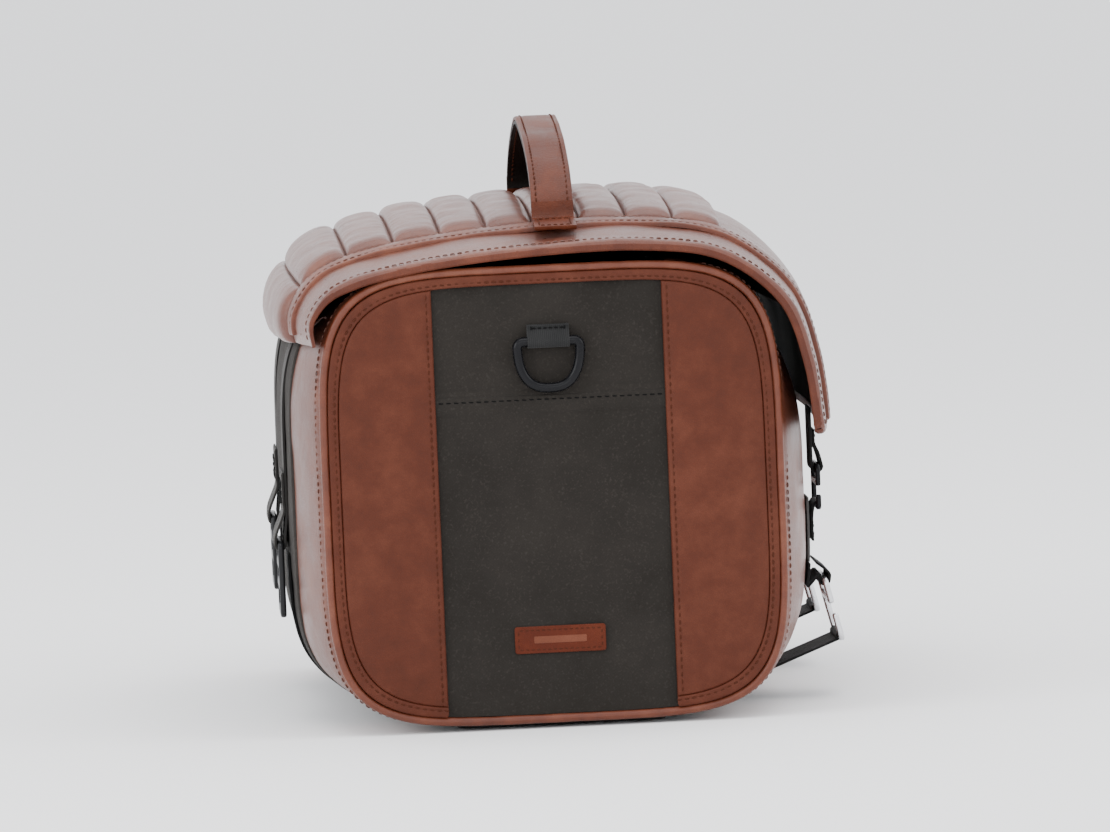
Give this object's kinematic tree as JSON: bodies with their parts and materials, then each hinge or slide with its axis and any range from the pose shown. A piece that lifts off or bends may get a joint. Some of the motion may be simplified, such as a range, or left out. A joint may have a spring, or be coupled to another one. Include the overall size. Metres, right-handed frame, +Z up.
{
  "type": "tail bag",
  "caption": "Leather and canvas motorcycle tail bag with a ribbed flap, carrying handle, end D-rings and webbing straps with hooks.",
  "frame": {"origin": "centre of the bag's footprint, on the surface it stands on", "axes": "+X to the rear, where the flap closes, +Y to the right end, +Z up"},
  "size_m": [0.3287, 0.3772, 0.341],
  "materials": {
    "leather": "semi-gloss waxed",
    "flap_leather": "semi-gloss waxed, ribbed and padded on top",
    "piping_leather": "semi-gloss",
    "handle_leather": "semi-gloss",
    "label_leather": "semi-gloss, embossed with a plain bar",
    "canvas": "plain weave, waxed, matt",
    "black_webbing": "woven, matt",
    "grey_webbing": "woven, matt",
    "lining": "woven, matt",
    "board": "matt",
    "rubber": "coated, matt",
    "aluminium": "satin",
    "black_metal": "gloss black",
    "black_plastic": "semi-gloss"
  },
  "bodies": {
    "body": {"base_board": "board", "base_pad_left": "rubber", "base_pad_middle": "rubber", "base_pad_right": "rubber", "base_panel": "rubber", "canvas_lower_left": "canvas", "canvas_lower_right": "canvas", "canvas_upper_left": "canvas", "canvas_upper_right": "canvas", "closure_catch_left": "black_webbing", "closure_catch_right": "black_webbing", "d_ring_tab_left": "black_webbing", "d_ring_tab_right": "black_webbing", "end_border_left": "leather", "end_border_right": "leather", "end_core_left": "board", "end_core_right": "board", "front_strap_left": "black_webbing", "front_strap_right": "black_webbing", "front_wall": "leather", "label_left": "label_leather", "leather_front_left": "leather", "leather_front_right": "leather", "leather_rear_left": "leather", "leather_rear_right": "leather", "lining": "lining", "mouth_binding_front": "lining", "mouth_binding_rear": "lining", "piping_left": "piping_leather", "piping_right": "piping_leather", "rear_tab_left": "black_webbing", "rear_tab_right": "black_webbing", "rear_wall": "leather", "rear_webbing_left": "grey_webbing", "rear_webbing_right": "grey_webbing", "under_strap_left": "black_webbing", "under_strap_right": "black_webbing"},
    "flap": {"closure_strap_left": "black_webbing", "closure_strap_right": "black_webbing", "flap_border_left": "flap_leather", "flap_border_right": "flap_leather", "flap_lining": "lining", "flap_rear_panel": "flap_leather", "flap_rib_panel": "flap_leather", "flap_stiffener": "board", "handle_end_left": "handle_leather", "handle_end_right": "handle_leather", "seam_strip_left": "flap_leather", "seam_strip_right": "flap_leather"},
    "handle": {"handle_strap": "handle_leather"},
    "d_ring_left": {"d_ring_left": "black_metal"},
    "front_buckle_left": {"front_buckle_left": "black_plastic"},
    "rear_hook_left": {"rear_hook_left": "aluminium"},
    "closure_hook_left": {"closure_hook_left": "black_metal"},
    "d_ring_right": {"d_ring_right": "black_metal"},
    "front_buckle_right": {"front_buckle_right": "black_plastic"},
    "rear_hook_right": {"rear_hook_right": "aluminium"},
    "closure_hook_right": {"closure_hook_right": "black_metal"}
  },
  "joints": [
    {"name": "flap_hinge", "type": "hinge", "parent": "body", "child": "flap", "pos_m": [-0.1495, 0, 0.2235], "axis": [0, -1, 0], "range_deg": [0, 115]},
    {"name": "handle_tilt", "type": "hinge", "parent": "flap", "child": "handle", "pos_m": [0.008, 0, 0.29167], "axis": [0, 1, 0], "range_deg": [-25, 25], "stiffness_Nm_per_rad": 0.1},
    {"name": "d_ring_left_swing", "type": "hinge", "parent": "body", "child": "d_ring_left", "pos_m": [0, -0.185, 0.2215], "axis": [-1, 0, 0], "range_deg": [0, 150]},
    {"name": "front_buckle_left_tilt", "type": "hinge", "parent": "body", "child": "front_buckle_left", "pos_m": [-0.1552, -0.08, 0.104], "axis": [0, 1, 0], "range_deg": [0, 40]},
    {"name": "rear_hook_left_swing", "type": "hinge", "parent": "body", "child": "rear_hook_left", "pos_m": [0.1593, -0.08, 0.069], "axis": [0, -1, 0], "range_deg": [0, 50]},
    {"name": "closure_hook_left_swing", "type": "hinge", "parent": "flap", "child": "closure_hook_left", "pos_m": [0.158, -0.08, 0.1345], "axis": [0, -1, 0], "range_deg": [0, 60]},
    {"name": "d_ring_right_swing", "type": "hinge", "parent": "body", "child": "d_ring_right", "pos_m": [0, 0.185, 0.2215], "axis": [1, 0, 0], "range_deg": [0, 150]},
    {"name": "front_buckle_right_tilt", "type": "hinge", "parent": "body", "child": "front_buckle_right", "pos_m": [-0.1552, 0.08, 0.104], "axis": [0, 1, 0], "range_deg": [0, 40]},
    {"name": "rear_hook_right_swing", "type": "hinge", "parent": "body", "child": "rear_hook_right", "pos_m": [0.1593, 0.08, 0.069], "axis": [0, -1, 0], "range_deg": [0, 50]},
    {"name": "closure_hook_right_swing", "type": "hinge", "parent": "flap", "child": "closure_hook_right", "pos_m": [0.158, 0.08, 0.1345], "axis": [0, -1, 0], "range_deg": [0, 60]}
  ]
}
